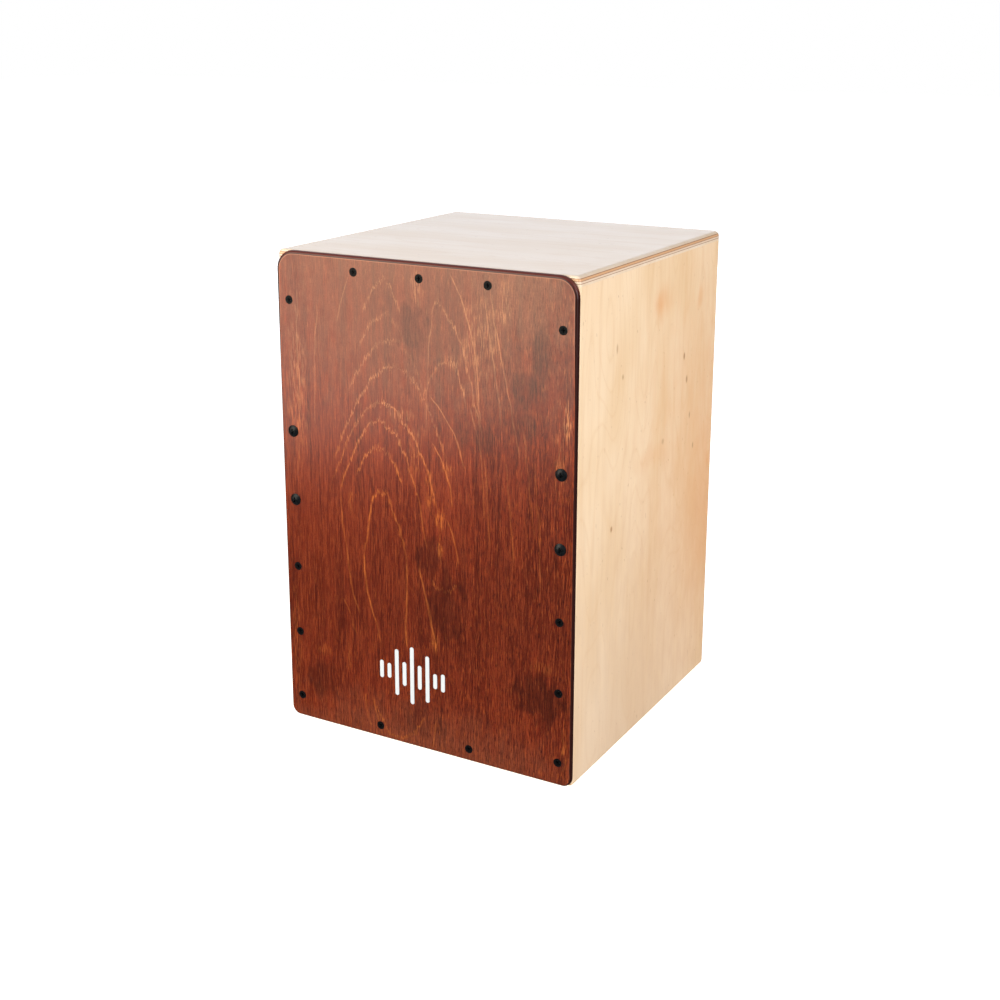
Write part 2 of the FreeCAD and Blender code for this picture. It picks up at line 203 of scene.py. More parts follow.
STAIN = rgb(107, 34, 10)
STAIN_LIGHT = rgb(130, 49, 15)
STAIN_DARK = rgb(75, 20, 6)
STAIN_LINE = rgb(182, 94, 34)
STAIN_LINE_PALE = rgb(184, 122, 78)
STAIN_STREAK = rgb(159, 73, 26)
STAIN_STREAK_PALE = rgb(168, 102, 58)
STAIN_PORE = rgb(52, 13, 5)
STAIN_SMUDGE = rgb(48, 13, 5)
# Painted reflection: the paler, greyer tone of the sheen on the stain along the top and the foot.
PAINTED_SHEEN_TONE = rgb(142, 99, 72)
OXBLOOD = rgb(42, 9, 4)
# Painted light: the rim's lighter tone where it faces up.
PAINTED_LIT_RIM = rgb(84, 26, 16)
# Painted highlight: the tone of the thin pale line inside the rim.
RIM_HIGHLIGHT = rgb(196, 132, 104)
RIM_LOW = 1.3  # width of the much darker stain round the plate's rim, low down
RIM_HIGH = 2.7  # and at the top
RIM_FADE = 0.25
RIM_HIGHLIGHT_OFFSET = 0.45  # a thin painted highlight runs just inside the dark rim
RIM_HIGHLIGHT_REACH = 0.6
TOP_CORNER = 18.0  # radii of the plate's corners
BOTTOM_CORNER = 9.0
BARE_BIRCH = rgb(214, 184, 148)

# Heights, in mm of the frame, between which the looks of the plate change on the way up.
# Painted light: the foot of the plate is painted lighter, for light from the floor.
PAINTED_FLOOR_LIGHT = (20.0, 150.0)
# Painted light: the plate is painted lighter on the way up, for the key lamp.
PAINTED_LIGHT_RISES = (120.0, 320.0)
LINES_THIN = (190.0, 300.0)
RIM_HIGHLIGHT_GROWS = (240.0, 445.0)
LINES_PALE = (250.0, 400.0)
STREAKS_PALE = (300.0, 420.0)
FIBRES_CALM = (300.0, 440.0)
RIM_WIDENS = (330.0, 440.0)

# The growth lines of the veneer, in mm of the frame. An arch is a pointed bend open downwards, or
# upwards where its drop is negative: x and z of its tip, its widths to the left and right at its
# feet, the drop from tip to feet, and how clear its left and right halves are.
ARCHES = (
    (-44, 252, 17, 27, 62, 0.9, 0.8), (-44, 293, 25, 24, 32, 0.9, 1.0), (-41, 317, 45, 40, 72, 0.75, 0.9),
    (-39, 334, 58, 58, 90, 0.6, 1.0), (-25, 368, 68, 56, 96, 0.7, 0.5), (-26, 390, 50, 32, 50, 0.5, 0.2),
    (-32, 412, 33, 20, 36, 0.45, 0.2), (-35, 442, 22, 16, 30, 0.6, 0.4), (30, 379, 28, 16, 40, 0.5, 0.65),
    (17, 427, 12, 45, 115, 0.4, 0.55), (-28, 13, 25, 30, -30, 0.6, 0.6), (22, 169, 11, 12, -9, 0.8, 0.8),
)
# A leg runs down the plate: x and z of its top, x and z of its foot, its bulge to the right, its clearness.
LEGS = (
    (-61, 192, -46, 104, -3, 0.85), (-17, 192, -19, 104, 1, 0.75), (-86, 247, -68, 128, -5, 0.5),
    (30, 456, 58, 336, 9, 0.6), (64, 440, 79, 325, 1, 0.45), (70, 442, 97, 300, 0, 0.55),
    (9, 347, 44, 284, 6, 0.6), (10, 305, 34, 248, 6, 0.75), (-2, 252, 6, 205, -1, 0.5),
    (-4, 190, 15, 106, 0, 0.75), (-88, 142, -73, 108, 2, 0.4), (28, 236, 38, 196, 2, 0.5),
    (16, 44, 10, 12, 0, 0.4), (-64, 52, -57, 18, -3, 0.45), (-56, 50, -45, 12, -1, 0.4),
    (-70, 448, -86, 400, -2, 0.3), (-104, 420, -112, 300, -2, 0.3), (-128, 430, -133, 250, 1, 0.3),
    (84, 300, 92, 205, 2, 0.35), (112, 300, 118, 180, 1, 0.3), (62, 300, 70, 214, 2, 0.35),
    (55, 415, 60, 325, -2, 0.4), (50, 345, 66, 240, 2, 0.35), (100, 330, 112, 230, 1, 0.3),
)
POINTED = 0.1  # 0 for arches that are parabolas, 1 for straight tents
LINE_CORE = 2.0  # how fast a line fades from its middle
ARCH_FADE = (0.8, 1.15)  # the shares of its drop between which an arch fades out
LEG_FADE = (0.4, 0.55)  # the same for both ends of a leg, from its middle
LINE_REACH_LOW = 2.1  # half widths of the growth lines below and above the plate's middle
LINE_REACH_HIGH = 1.5
TEETH_ALONG = 26.0  # how far the noises push a growth line along the grain and across it
RAGGED_ALONG = 12.0
WANDER_ACROSS = 11.0
RAGGED_ACROSS = 4.0
# Places where the wood stayed lighter, broken into strokes along the grain. These, the smudges and
# the places of painted sheen are ovals in mm of the frame: (x, z, half width, half height), and their
# strength.
FLAMES = (
    ((19, 236, 7, 14), 0.9), ((19, 206, 3, 18), 0.9), ((9, 258, 7, 24), 0.6), ((-2, 436, 8, 22), 0.4),
    ((142, 338, 5, 24), 0.9), ((122, 117, 16, 8), 0.4), ((-110, 84, 14, 8), 0.25), ((32, 377, 9, 8), 0.6),
    ((13, 118, 7, 15), 0.6), ((-20, 325, 16, 9), 0.45), ((-75, 236, 5, 16), 0.4), ((27, 283, 9, 9), 0.6),
    ((-6, 290, 9, 34), 0.35), ((60, 400, 30, 50), 0.3),
    ((-130, 330, 14, 90), 0.3), ((-141, 90, 7, 70), 0.3),
    ((143, 45, 4, 30), 0.5), ((-81, 85, 3, 20), 0.5), ((82, 430, 10, 30), 0.3), ((136, 300, 8, 40), 0.4),
)
# Places where the stain sank in deeper.
SMUDGES = (
    ((119, 87, 30, 29), 0.75), ((-112, 54, 19, 23), 0.55), ((22, 155, 24, 42), 0.5),
    ((6, 198, 18, 24), 0.5), ((-8, 404, 18, 30), 0.45), ((118, 394, 15, 24), 0.45),
    ((104, 361, 17, 18), 0.5), ((100, 331, 24, 12), 0.45), ((64, 316, 12, 16), 0.45),
    ((44, 318, 10, 22), 0.35), ((-8, 36, 34, 20), 0.3), ((100, 240, 70, 130), 0.14),
)
# Painted reflection: places where the stain is painted paler and greyer, along the top and the foot, for
# the sheen of the lamps and the floor on the gloss.
PAINTED_SHEEN = (
    ((0, 440, 260, 150), 0.22), ((0, 470, 260, 46), 0.15),
    ((100, 440, 66, 60), 0.2), ((10, 0, 210, 74), 0.16),
)


def growth_lines(graph, wander, teeth, ragged):
    """How much a place lies on a growth line, 0 to 1. The grain tears the arches into fine teeth."""
    along = graph.pushed(graph.pushed(graph.z, teeth, TEETH_ALONG), ragged, RAGGED_ALONG)
    across = graph.pushed(graph.pushed(graph.x, wander, WANDER_ACROSS), ragged, RAGGED_ACROSS)
    reach = graph.spread(graph.z, *LINES_THIN, LINE_REACH_LOW, LINE_REACH_HIGH)
    lines = 0.0
    for tip_x, tip_z, left, right, drop, *clears in ARCHES:
        left_clear, right_clear = (clear ** (1 / LINE_CORE) for clear in clears)
        aside = graph.math("SUBTRACT", across, tip_x)
        is_right = graph.math("GREATER_THAN", aside, 0.0)
        spread = graph.math("MULTIPLY_ADD", is_right, 1 / right - 1 / left, 1 / left)
        share = graph.times(graph.math("ABSOLUTE", aside), spread)
        fall = graph.times(graph.math("MULTIPLY_ADD", share, (1 - POINTED) * drop, POINTED * drop), share)
        slope = graph.math("MULTIPLY_ADD", share, 2 * (1 - POINTED) * drop, POINTED * drop)
        slope = graph.times(slope, spread)
        off = graph.add(along, -tip_z, fall)
        steepness = graph.math("SQRT", graph.math("MULTIPLY_ADD", slope, slope, 1.0))
        off = graph.math("ABSOLUTE", graph.math("DIVIDE", off, steepness))
        clear = graph.math("MULTIPLY_ADD", is_right, right_clear - left_clear, left_clear)
        down = graph.math("DIVIDE", graph.math("SUBTRACT", tip_z, graph.z), drop)
        ends = graph.spread(down, *ARCH_FADE, 1.0, 0.0)
        line = graph.times(graph.spread(off, 0.0, reach, 1.0, 0.0), clear, ends)
        lines = graph.math("MAXIMUM", lines, line)
    for top_x, top_z, foot_x, foot_z, bulge, clear in LEGS:
        height = graph.math("DIVIDE", graph.math("SUBTRACT", graph.z, foot_z), top_z - foot_z)
        bow = graph.times(height, graph.math("SUBTRACT", 1.0, height), 4.0 * bulge)
        middle = graph.math("MULTIPLY_ADD", height, top_x - foot_x, graph.add(bow, foot_x))
        off = graph.math("ABSOLUTE", graph.math("SUBTRACT", across, middle))
        from_middle = graph.math("ABSOLUTE", graph.math("SUBTRACT", height, 0.5))
        ends = graph.spread(from_middle, *LEG_FADE, clear ** (1 / LINE_CORE), 0.0)
        line = graph.times(graph.spread(off, 0.0, reach, 1.0, 0.0), ends)
        lines = graph.math("MAXIMUM", lines, line)
    return graph.math("POWER", lines, LINE_CORE)


def plate_inset(graph):
    """How far a place on the plate lies inside its outline, which has rounded corners."""
    low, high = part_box("playing_plate")
    aside = graph.math("ABSOLUTE", graph.x)
    above = graph.math("SUBTRACT", graph.z, high.z * MM - TOP_CORNER)
    below = graph.math("SUBTRACT", low.z * MM + BOTTOM_CORNER, graph.z)
    insets = []
    for corner, past in ((TOP_CORNER, above), (BOTTOM_CORNER, below)):
        beside = graph.math("MAXIMUM", graph.math("SUBTRACT", aside, high.x * MM - corner), 0.0)
        past = graph.math("MAXIMUM", past, 0.0)
        reach = graph.math("SQRT", graph.add(graph.times(beside, beside), graph.times(past, past)))
        insets.append(graph.math("SUBTRACT", corner, reach))
    return graph.math("MINIMUM", *insets)


def plate_noise(graph, across, along, shift, detail=2.0, roughness=0.5, through=0.0):
    """Noise along the plate's upright grain, with its waves per mm across the grain and along it."""
    place = graph.point(graph.x, through, graph.z, (across, across, along), shift)
    return graph.noise(place, detail, roughness)


def stain_veneer(graph, fibre, band, ragged, crisp):
    """The stain's main tone: bands, lighter fibres, painted sheen along the top and the foot, pale streaks
    and dark pores.
    """
    x, z = graph.x, graph.z
    dashes = plate_noise(graph, 1.05, 0.075, 71.0, 2.0, 0.6)
    pores = plate_noise(graph, 1.5, 0.14, 83.0, 2.0, 0.6)
    uneven = graph.math("MULTIPLY_ADD", ragged, 0.9, -0.45)
    colour = graph.blend(graph.spread(band, 0.3, 0.7, smooth=False), STAIN_DARK, STAIN)
    calm = graph.spread(z, *FIBRES_CALM, 1.0, 0.45)
    fibres = graph.times(graph.spread(fibre, 0.42, 0.68, 0.0, 0.85), calm)
    colour = graph.blend(fibres, colour, STAIN_LIGHT)
    # Painted reflection: the stain is painted paler and greyer along the top and the foot.
    for oval, strength in PAINTED_SHEEN:
        share = graph.times(graph.spot(x, z, oval, uneven), strength)
        colour = graph.blend(share, colour, PAINTED_SHEEN_TONE)
    streak_colour = graph.blend(graph.spread(z, *STREAKS_PALE), STAIN_STREAK, STAIN_STREAK_PALE)
    streaks = graph.times(graph.spread(dashes, 0.55, 0.72, 0.0, 0.75), crisp)
    colour = graph.blend(streaks, colour, streak_colour)
    pits = graph.times(graph.spread(pores, 0.52, 0.68, 0.0, 0.9), crisp)
    colour = graph.blend(pits, colour, STAIN_PORE)
    line_colour = graph.blend(graph.spread(z, *LINES_PALE), STAIN_LINE, STAIN_LINE_PALE)
    strokes = graph.spread(dashes, 0.46, 0.6, 0.0, 1.0)
    for oval, strength in FLAMES:
        share = graph.times(graph.spot(x, z, oval, uneven), strokes, strength)
        colour = graph.blend(share, colour, line_colour)
    return colour, line_colour, pores


def stain_rim(graph, colour):
    """The stain's colour with its dark rim, painted lighter where it faces up, and the painted highlight
    inside it, and how far it is rim.
    """
    width = graph.spread(graph.z, *RIM_WIDENS, RIM_LOW, RIM_HIGH)
    past_rim = graph.math("SUBTRACT", plate_inset(graph), width)
    # Painted highlight: a thin pale line just inside the dark rim, growing stronger towards the top.
    off_line = graph.math("ABSOLUTE", graph.math("SUBTRACT", past_rim, RIM_HIGHLIGHT_OFFSET))
    line = graph.spread(off_line, 0.0, RIM_HIGHLIGHT_REACH, 1.0, 0.0)
    line = graph.times(line, graph.spread(graph.z, *RIM_HIGHLIGHT_GROWS, 0.05, 0.38))
    colour = graph.blend(line, colour, RIM_HIGHLIGHT)
    rim = graph.spread(past_rim, 0.0, RIM_FADE, 1.0, 0.0)
    # Painted light: the dark rim stain is painted lighter maroon where it faces up.
    rim_stain_and_light = graph.blend(graph.spread(graph.facing(UP), 0.0, 0.5), OXBLOOD, PAINTED_LIT_RIM)
    return graph.blend(rim, colour, rim_stain_and_light), rim


def plate_material():
    """Glossy red-brown stained birch with arched growth lines, and a bare back."""
    graph = Graph("stained_birch")
    x, y, z = graph.x, graph.y, graph.z
    fibre = plate_noise(graph, 0.95, 0.05, 0.0, 3.0, 0.65, through=y)
    thread = plate_noise(graph, 1.7, 0.12, 11.0, 3.0, 0.65, through=y)
    band = plate_noise(graph, 0.13, 0.006, 23.0, through=y)
    wander = plate_noise(graph, 0.022, 0.014, 5.0)
    ragged = plate_noise(graph, 0.09, 0.05, 31.0, 3.0)
    teeth = plate_noise(graph, 0.55, 0.03, 61.0, 3.0, 0.75)
    broken = plate_noise(graph, 0.07, 0.04, 47.0, 3.0, 0.6)
    speckle = plate_noise(graph, 0.95, 0.7, 97.0, 2.0, 0.7)
    lines = growth_lines(graph, wander, teeth, ragged)
    lines = graph.times(lines, graph.spread(broken, 0.34, 0.56, 0.35, 1.0))
    lines = graph.times(lines, graph.spread(fibre, 0.32, 0.6, 0.4, 1.0))
    crisp = graph.spread(graph.add(x, graph.times(z, -0.6)), -330.0, 40.0, 0.35, 1.0)

    colour, line_colour, pores = stain_veneer(graph, fibre, band, ragged, crisp)
    colour = graph.blend(lines, colour, line_colour)
    contrast = graph.times(graph.math("SUBTRACT", thread, 0.5), crisp, 1.9)
    grain = graph.add(contrast, graph.spread(speckle, 0.2, 0.8, 0.75, 1.25, smooth=False))
    colour = graph.shade(colour, grain)
    # Painted light: darker low down and lighter towards the top, where the key lamp falls strongest.
    colour = graph.shade(colour, graph.spread(z, *PAINTED_LIGHT_RISES, 0.75, 1.07))
    # Painted light: lighter again at the foot, for the light thrown up from the floor.
    colour = graph.shade(colour, graph.spread(z, *PAINTED_FLOOR_LIGHT, 1.24, 1.0))
    torn = graph.math("MULTIPLY_ADD", ragged, 2.0, -1.0)
    for oval, strength in SMUDGES:
        spot = graph.spot(x, z, oval, torn, core=0.5)
        share = graph.times(spot, graph.spread(fibre, 0.3, 0.7, 1.0, 0.6), strength)
        colour = graph.blend(share, colour, STAIN_SMUDGE)
    colour, rim = stain_rim(graph, colour)
    bare = graph.shade(BARE_BIRCH, graph.spread(fibre, 0.3, 0.7, 0.84, 1.08, smooth=False))
    colour = graph.blend(graph.spread(graph.facing(BACK), 0.6, 0.9), colour, bare)

    height = graph.add(graph.times(thread, 0.6), graph.times(fibre, 0.4), graph.times(pores, -0.5))
    roughness = graph.spread(fibre, 0.3, 0.7, 0.2, 0.26, smooth=False)
    roughness = graph.add(roughness, graph.times(rim, 0.1))
    return graph.finish(colour, roughness, graph.bump(height, GRAIN_DEPTH), Specular_IOR_Level=0.4)


# ---------------------------------------------------------------- birch plywood

# The lacquered panels: the veneers, the plies that show at their ends, and the glue lines between.
BIRCH = rgb(229, 196, 155)
BIRCH_DEEP = rgb(214, 170, 120)
BIRCH_PALE = rgb(236, 208, 173)
BIRCH_FLECK = rgb(160, 112, 72)
# The next tone is the veneer's flame figure and also painted shade at the rear of the right side.
BIRCH_FLAME_AND_SHADE = rgb(222, 160, 104)
# Painted shade: the greyer, darker tone of the right side low down.
BIRCH_PAINTED_SHADE = rgb(198, 172, 150)
CROSS_PLY = rgb(219, 164, 113)
LONG_PLY = rgb(226, 194, 156)
GLUE_LINE = rgb(142, 86, 48)
GLUE_CORE = 0.14  # half width of a glue line where it is darkest, and where it ends
GLUE_EDGE = 0.38
PANEL_FACE = 2.4  # thickness of the face veneers on the panels and on the thin back
BACK_FACE = 1.2
# Painted reflection: the top panel is tinted whiter and cooler for the backdrop's glare on its lacquer.
TOP_GLARE_TINT = (0.95, 1.03, 1.22, 1.0)
SEED_STEP = 17.3  # how far apart, in noise waves, the grain of two panels is cut
VENEER_TURNS = 26.0  # growth rings that a rotary-cut sheet passes through over one noise wave


def birch(graph, across, along, through, seed):
    """Rotary-cut birch veneer: (colour, height), its grain running along the second coordinate."""
    shift = seed * SEED_STEP
    fibre = graph.noise(graph.point(across, along, through, (1.7, 0.045, 1.7), shift), 3.0, 0.6)
    cloud = graph.noise(graph.point(across, along, through, (0.02, 0.008, 0.02), shift), 2.0)
    streak = graph.noise(graph.point(across, along, through, (0.16, 0.008, 0.16), shift), 2.0)
    figure = graph.noise(graph.point(across, along, through, (0.012, 0.0028, 0.0), shift), 1.0)
    turns = graph.math("MULTIPLY_ADD", figure, VENEER_TURNS, graph.times(fibre, 0.35))
    ring = graph.math("PINGPONG", turns, 0.5)
    colour = graph.blend(graph.spread(cloud, 0.3, 0.7), BIRCH, BIRCH_PALE)
    colour = graph.blend(graph.spread(streak, 0.45, 0.8, 0.0, 0.25), colour, BIRCH_DEEP)
    colour = graph.blend(graph.spread(ring, 0.0, 0.12, 0.2, 0.0), colour, BIRCH_DEEP)
    fleck = graph.noise(graph.point(across, along, through, (0.55, 0.16, 0.55), shift + 3.0), 1.0)
    colour = graph.blend(graph.spread(fleck, 0.72, 0.8, 0.0, 0.6), colour, BIRCH_FLECK)
    colour = graph.shade(colour, graph.spread(fibre, 0.25, 0.75, 0.955, 1.035, smooth=False))
    return colour, fibre


def plies(graph, depth, thickness, face, face_colour, across, along, seed):
    """The face veneer on both sides of cross and long plies with dark glue lines between."""
    inner_face = thickness - face
    core = (inner_face - face) / 2
    grain = graph.noise(graph.point(across, along, depth, (1.1, 1.1, 2.5), seed * 5.1), 3.0, 0.65)
    cross = graph.shade(CROSS_PLY, graph.spread(grain, 0.25, 0.75, 0.86, 1.12, smooth=False))
    long = graph.shade(LONG_PLY, graph.spread(grain, 0.25, 0.75, 0.93, 1.06, smooth=False))
    colour = graph.blend(graph.math("GREATER_THAN", depth, face + core), cross, long)
    colour = graph.blend(graph.math("LESS_THAN", depth, face), colour, face_colour)
    colour = graph.blend(graph.math("GREATER_THAN", depth, inner_face), colour, face_colour)
    for line in (face, face + core, inner_face):
        off = graph.math("ABSOLUTE", graph.math("SUBTRACT", depth, line))
        colour = graph.blend(graph.spread(off, GLUE_CORE, GLUE_EDGE, 0.9, 0.0), colour, GLUE_LINE)
    return colour


def ply_material(
    name, node, axis, outer_is_high, grain, seed, face=PANEL_FACE, flames_and_shade=(), flecks=(), painted_glare=None
):
    """Lacquered birch plywood. axis is across the panel, outer_is_high says which face is outside,
    and grain is the axis along the face veneer. flames and flecks are ovals (across, along, ...) in
    mm of the frame with a strength, and the flames have a colour; some of those ovals are painted
    shade. tint, if given, is multiplied into the colour as painted reflection."""
    graph = Graph(name)
    places = (graph.x, graph.y, graph.z)
    low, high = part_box(node)
    thickness = (high[axis] - low[axis]) * MM
    if outer_is_high:
        depth = graph.math("SUBTRACT", high[axis] * MM, places[axis])
    else:
        depth = graph.math("SUBTRACT", places[axis], low[axis] * MM)
    across = places[3 - axis - grain]
    along = places[grain]
    colour, fibre = birch(graph, across, along, places[axis], seed)
    ragged = graph.noise(graph.point(across, along, 0.0, (0.1, 0.04, 1.0), seed), 3.0)
    uneven = graph.math("MULTIPLY_ADD", ragged, 0.6, -0.3)
    # Some of these ovals are painted shade.
    for oval, strength, tone in flames_and_shade:
        share = graph.times(graph.spot(across, along, oval, uneven, core=0.0), strength)
        colour = graph.blend(share, colour, tone)
    for oval, strength in flecks:
        share = graph.times(graph.spot(across, along, oval, uneven), strength)
        colour = graph.blend(share, colour, BIRCH_FLECK)
    colour = plies(graph, depth, thickness, face, colour, across, along, seed)
    # Painted reflection: the glare tint is multiplied into the colour.
    if painted_glare is not None:
        colour = graph.blend(1.0, colour, painted_glare, "MULTIPLY")
    roughness = graph.spread(fibre, 0.3, 0.7, 0.36, 0.46, smooth=False)
    normal = graph.bump(fibre, GRAIN_DEPTH)
    return graph.finish(colour, roughness, normal, IOR=1.5, Coat_Weight=0.35, Coat_Roughness=0.22)


# The right side's flame figure, and painted shade: the first two broad ovals deepen the rear towards
# orange, partly the wood's tone and mostly painted shade, and the last one is painted shade that greys and
# darkens the side low down towards the front.
RIGHT_SIDE_FLAMES_AND_SHADE = (
    ((170, 210, 290, 340), 0.5, BIRCH_FLAME_AND_SHADE), ((150, 180, 90, 140), 0.42, BIRCH_FLAME_AND_SHADE),
    ((20, 412, 28, 24), 0.4, BIRCH_FLAME_AND_SHADE), ((12, 410, 12, 16), 0.5, BIRCH_FLAME_AND_SHADE),
    ((108, 402, 9, 20), 0.4, BIRCH_FLAME_AND_SHADE), ((0, 272, 48, 16), 0.22, BIRCH_FLAME_AND_SHADE),
    ((143, 232, 5, 12), 0.6, BIRCH_FLAME_AND_SHADE), ((-70, 20, 280, 300), 0.38, BIRCH_PAINTED_SHADE),
)
RIGHT_SIDE_FLECKS = (
    ((73, 352, 3, 5), 0.8), ((81, 328, 3, 5), 0.7), ((91, 291, 2.5, 5), 0.6), ((102, 258, 2.5, 5), 0.6),
    ((-77, 387, 2.5, 6), 0.5), ((-64, 360, 3, 4), 0.6), ((-81, 227, 3, 4), 0.8), ((28, 280, 4, 4), 0.4),
)


# ---------------------------------------------------------------- battens, blocks and bar

SPRUCE = rgb(232, 205, 158)
SPRUCE_RING = rgb(196, 150, 96)
BEECH = rgb(206, 160, 116)
BEECH_DEEP = rgb(184, 134, 92)
BEECH_RAY = rgb(140, 92, 60)


def grain_last(graph, grain):
    """The three coordinates, with the one along the grain moved to the end."""
    places = [graph.x, graph.y, graph.z]
    along = places.pop(grain)
    return (*places, along)


def softwood_material(name, grain, seed):
    """Planed spruce: growth rings as fine lines along the piece."""
    graph = Graph(name)
    first, second, along = grain_last(graph, grain)
    wander = graph.noise(graph.point(first, second, along, (0.03, 0.03, 0.004), seed), 1.0)
    reach = graph.add(graph.times(first, 0.55), graph.times(second, 0.35), graph.times(wander, 14.0))
    ring = graph.math("FRACT", graph.times(reach, 0.42))
    fibre = graph.noise(graph.point(first, second, along, (1.5, 1.5, 0.05), seed), 3.0, 0.6)
    colour = graph.blend(graph.spread(ring, 0.35, 0.97, 0.0, 0.8), SPRUCE, SPRUCE_RING)
    colour = graph.shade(colour, graph.spread(fibre, 0.25, 0.75, 0.9, 1.06, smooth=False))
    roughness = graph.spread(ring, 0.0, 1.0, 0.72, 0.58, smooth=False)
    return graph.finish(colour, roughness, graph.bump(fibre, SPRUCE_DEPTH), IOR=1.45)


def beech_material(name, grain, seed):
    """Beech: pinkish brown with short dark ray flecks along the grain."""
    graph = Graph(name)
    first, second, along = grain_last(graph, grain)
    fibre = graph.noise(graph.point(first, second, along, (1.3, 1.3, 0.04), seed), 3.0, 0.6)
    rays = graph.noise(graph.point(first, second, along, (1.6, 1.6, 0.5), seed + 4.0), 1.0)
    colour = graph.blend(graph.spread(fibre, 0.3, 0.75), BEECH, BEECH_DEEP)
    colour = graph.blend(graph.spread(rays, 0.6, 0.72, 0.0, 0.7), colour, BEECH_RAY)
    roughness = graph.spread(fibre, 0.3, 0.7, 0.5, 0.62, smooth=False)
    return graph.finish(colour, roughness, graph.bump(fibre, BEECH_DEPTH), IOR=1.48)


# ---------------------------------------------------------------- metal, rubber, felt and ink

# The darker and the lighter tone of each metal's mottling.
BLACK_STEEL = (rgb(8, 10, 11), rgb(18, 22, 26))
DULL_BLACK_STEEL = (rgb(7, 8, 9), rgb(15, 18, 20))
ZINC_STEEL = (rgb(150, 153, 158), rgb(192, 194, 197))
BRIGHT_STEEL = (rgb(172, 174, 178), rgb(206, 207, 209))
RUBBER = rgb(30, 30, 31)
RUBBER_DUST = rgb(54, 53, 51)
FELT_DARK = rgb(96, 95, 92)
FELT_PALE = rgb(158, 156, 150)
INK_DARK = rgb(190, 196, 200)
INK_PALE = rgb(202, 208, 212)
METAL_DEPTH = 0.02
RUBBER_DEPTH = 0.12
FELT_DEPTH = 0.3


def even_noise(graph, scale, detail, shift=0.0, roughness=0.5, distortion=0.0):
    """Noise with the same waves per mm in every direction."""
    place = graph.point(graph.x, graph.y, graph.z, (scale,) * 3, shift)
    return graph.noise(place, detail, roughness, distortion)


def metal_material(name, tones, smooth, rough, **constants):
    """Plated or blacked steel with fine mottling in its tone and gloss."""
    graph = Graph(name)
    mottle = even_noise(graph, 1.2, 3.0, roughness=0.6)
    fine = even_noise(graph, 7.0, 2.0, 13.0, 0.6)
    colour = graph.blend(graph.spread(mottle, 0.35, 0.68), *tones)
    mix = graph.add(mottle, graph.times(fine, 0.5))
    roughness = graph.spread(mix, 0.5, 1.0, smooth, rough, smooth=False)
    return graph.finish(colour, roughness, graph.bump(fine, METAL_DEPTH), **constants)


def rubber_material():
    """Black rubber with a fine grain and dusty patches."""
    graph = Graph("black_rubber")
    grain = even_noise(graph, 2.2, 3.0, roughness=0.7)
    dust = even_noise(graph, 0.12, 3.0, 9.0)
    colour = graph.blend(graph.spread(dust, 0.45, 0.75), RUBBER, RUBBER_DUST)
    roughness = graph.spread(grain, 0.3, 0.7, 0.62, 0.78, smooth=False)
    return graph.finish(colour, roughness, graph.bump(grain, RUBBER_DEPTH), IOR=1.5)


def felt_material():
    """Grey pressed felt: fuzz over darker and lighter clumps."""
    graph = Graph("grey_felt")
    fuzz = even_noise(graph, 4.0, 4.0, roughness=0.75, distortion=0.6)
    clump = even_noise(graph, 0.8, 2.0, 7.0)
    colour = graph.blend(graph.spread(fuzz, 0.35, 0.7), FELT_DARK, FELT_PALE)
    colour = graph.shade(colour, graph.spread(clump, 0.3, 0.7, 0.85, 1.1, smooth=False))
    roughness = graph.spread(fuzz, 0.3, 0.7, 0.86, 0.97, smooth=False)
    return graph.finish(colour, roughness, graph.bump(fuzz, FELT_DEPTH), Sheen_Weight=0.4)


def ink_material():
    """Screen-printed white: nearly opaque, with the wood's fibres just showing in its surface."""
    graph = Graph("white_ink")
    fibre = graph.noise(graph.point(graph.x, graph.y, graph.z, (2.6, 2.6, 0.07), 11.0), 3.0, 0.65)
    mesh = even_noise(graph, 1.4, 2.0, 3.0)
    share = graph.add(graph.times(fibre, 0.7), graph.times(mesh, 0.3))
    colour = graph.blend(graph.spread(share, 0.3, 0.66), INK_DARK, INK_PALE)
    roughness = graph.spread(mesh, 0.3, 0.7, 0.42, 0.55, smooth=False)
    return graph.finish(colour, roughness, graph.bump(fibre, GRAIN_DEPTH), IOR=1.5)


# ---------------------------------------------------------------- who wears what


def dress_panels():
    """The playing plate's stained veneer, and lacquered plywood on the other panels."""
    wear(plate_material(), "playing_plate")
    right = ply_material(
        "birch_right", "right_side_panel", RIGHT, True, UP, 1.0,
        flames_and_shade=RIGHT_SIDE_FLAMES_AND_SHADE, flecks=RIGHT_SIDE_FLECKS,
    )
    wear(right, "right_side_panel")
    wear(ply_material("birch_left", "left_side_panel", RIGHT, False, UP, 2.0), "left_side_panel")
    wear(ply_material("birch_top", "top_panel", UP, True, RIGHT, 3.0, painted_glare=TOP_GLARE_TINT), "top_panel")
    wear(ply_material("birch_bottom", "bottom_panel", UP, False, RIGHT, 4.0), "bottom_panel")
    wear(ply_material("birch_back", "back_panel", BACK, True, UP, 5.0, face=BACK_FACE), "back_panel")


def dress_insides():
    """Spruce for the battens and glue strips, beech and felt for the snare unit."""
    upright = softwood_material("spruce_upright", UP, 1.0)
    level = softwood_material("spruce_level", RIGHT, 5.0)
    wear(upright, "front_batten_left", "front_batten_right", "rear_batten_left", "rear_batten_right")
    wear(level, "front_batten_top", "front_batten_bottom", "rear_batten_top", "rear_batten_bottom")
    wear(softwood_material("spruce_strip", BACK, 9.0), "glue_strips")
    wear(beech_material("beech_block", UP, 2.0), "snare_block_left", "snare_block_right")
    wear(beech_material("beech_bar", RIGHT, 6.0), "snare_bar")
    wear(felt_material(), "snare_felt_washers")


